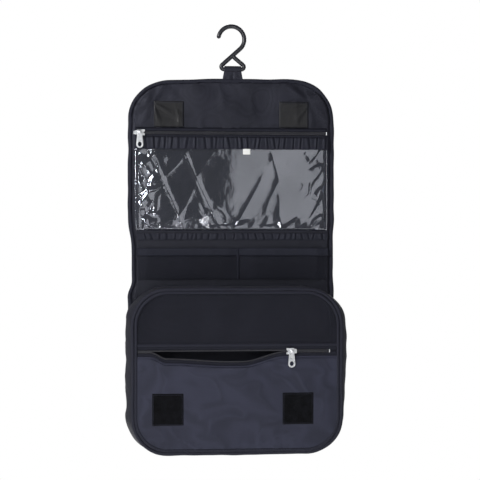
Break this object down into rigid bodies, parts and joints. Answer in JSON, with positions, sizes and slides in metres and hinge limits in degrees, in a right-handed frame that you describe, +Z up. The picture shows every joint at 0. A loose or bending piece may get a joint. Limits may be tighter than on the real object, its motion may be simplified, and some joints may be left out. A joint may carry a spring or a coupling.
{
  "type": "hanging toiletry bag",
  "caption": "Hanging toiletry bag with a plastic hook, a zipped clear pocket, mesh pockets and a zipped lower bag with a mesh top, folding up along two creases.",
  "frame": {"origin": "centre of the round curve of the hanging hook, on the axis of the rail or peg that it hangs from", "axes": "+X to the right seen from the front, +Y towards the wall behind, +Z up; the bag hangs open and flat"},
  "size_m": [0.24, 0.0537, 0.4895],
  "materials": {
    "hook_plastic": "satin moulded plastic",
    "outer_nylon": "plain woven nylon, slight sheen",
    "front_nylon": "ripstop-like woven nylon, slight sheen",
    "lining_nylon": "thin woven nylon",
    "padding_foam": "thin foam sheet",
    "binding_tape": "folded woven tape",
    "mesh_fabric": "open knitted mesh",
    "hook_fastener": "touch fastener, hook side",
    "loop_fastener": "touch fastener, loop side",
    "zip_tape": "woven zip tape",
    "zip_coil": "nylon zip coil",
    "slider_metal": "nickel-plated zinc",
    "clear_film": "clear flexible PVC film",
    "tag_cloth": "blank woven tag"
  },
  "bodies": {
    "hook": {"hanging_hook": "hook_plastic"},
    "top_panel": {"hanger_loop": "outer_nylon", "top_outer_shell": "outer_nylon", "top_padding": "padding_foam", "top_lining": "lining_nylon", "top_binding": "binding_tape", "hook_tape_left": "hook_fastener", "hook_tape_right": "hook_fastener", "window_zip_tape_upper": "zip_tape", "window_zip_tape_lower": "zip_tape", "window_zip_coil_upper": "zip_coil", "window_zip_coil_lower": "zip_coil", "window_zip_stops": "slider_metal", "window_gathered_trim": "lining_nylon", "clear_window": "clear_film", "care_tag": "tag_cloth", "upper_fold_strip": "outer_nylon"},
    "window_slider": {"window_slider_body": "slider_metal"},
    "window_pull": {"window_slider_pull": "slider_metal"},
    "mid_panel": {"mid_outer_shell": "outer_nylon", "mid_padding": "padding_foam", "mid_lining": "lining_nylon", "mid_binding_left": "binding_tape", "mid_binding_right": "binding_tape", "fold_trim": "lining_nylon", "mesh_pocket_left": "mesh_fabric", "mesh_pocket_right": "mesh_fabric", "pocket_hem": "binding_tape", "pocket_divider": "binding_tape", "lower_fold_strip": "outer_nylon"},
    "lower_bag": {"bag_outer_back": "outer_nylon", "bag_back_padding": "padding_foam", "bag_back_lining": "lining_nylon", "bag_back_binding": "binding_tape", "bag_gusset_top": "outer_nylon", "bag_gusset_lower": "outer_nylon", "bag_front_mesh": "mesh_fabric", "bag_front_panel": "front_nylon", "bag_front_piping": "binding_tape", "bag_back_piping": "binding_tape", "loop_tape_left": "loop_fastener", "loop_tape_right": "loop_fastener", "bag_zip_tape_upper": "zip_tape", "bag_zip_tape_lower": "zip_tape", "bag_zip_coil_upper": "zip_coil", "bag_zip_coil_lower": "zip_coil", "bag_zip_stops": "slider_metal"},
    "bag_slider": {"bag_slider_body": "slider_metal"},
    "bag_pull": {"bag_slider_pull": "slider_metal"}
  },
  "joints": [
    {"name": "hook_swing", "type": "hinge", "parent": "hook", "child": "top_panel", "pos_m": [0, 0, -0.035], "axis": [1, 0, 0], "range_deg": [-90, 110]},
    {"name": "upper_fold", "type": "hinge", "parent": "top_panel", "child": "mid_panel", "pos_m": [0, -0.0025, -0.224], "axis": [-1, 0, 0], "range_deg": [0, 90], "deforming": ["upper_fold_strip"]},
    {"name": "lower_fold", "type": "hinge", "parent": "mid_panel", "child": "lower_bag", "pos_m": [0, -0.0025, -0.28], "axis": [-1, 0, 0], "range_deg": [0, 90], "deforming": ["lower_fold_strip"]},
    {"name": "window_zip", "type": "slide", "parent": "top_panel", "child": "window_slider", "axis": [1, 0, 0], "range_m": [0, 0.208]},
    {"name": "window_pull_swing", "type": "hinge", "parent": "window_slider", "child": "window_pull", "pos_m": [-0.1055, -0.0091, -0.11], "axis": [0, 1, 0], "range_deg": [-80, 80]},
    {"name": "bag_zip", "type": "slide", "parent": "lower_bag", "child": "bag_slider", "axis": [1, 0, 0], "range_m": [-0.1625, 0.035]},
    {"name": "bag_pull_swing", "type": "hinge", "parent": "bag_slider", "child": "bag_pull", "pos_m": [0.065, -0.0486, -0.357], "axis": [0, 1, 0], "range_deg": [-80, 80]}
  ]
}
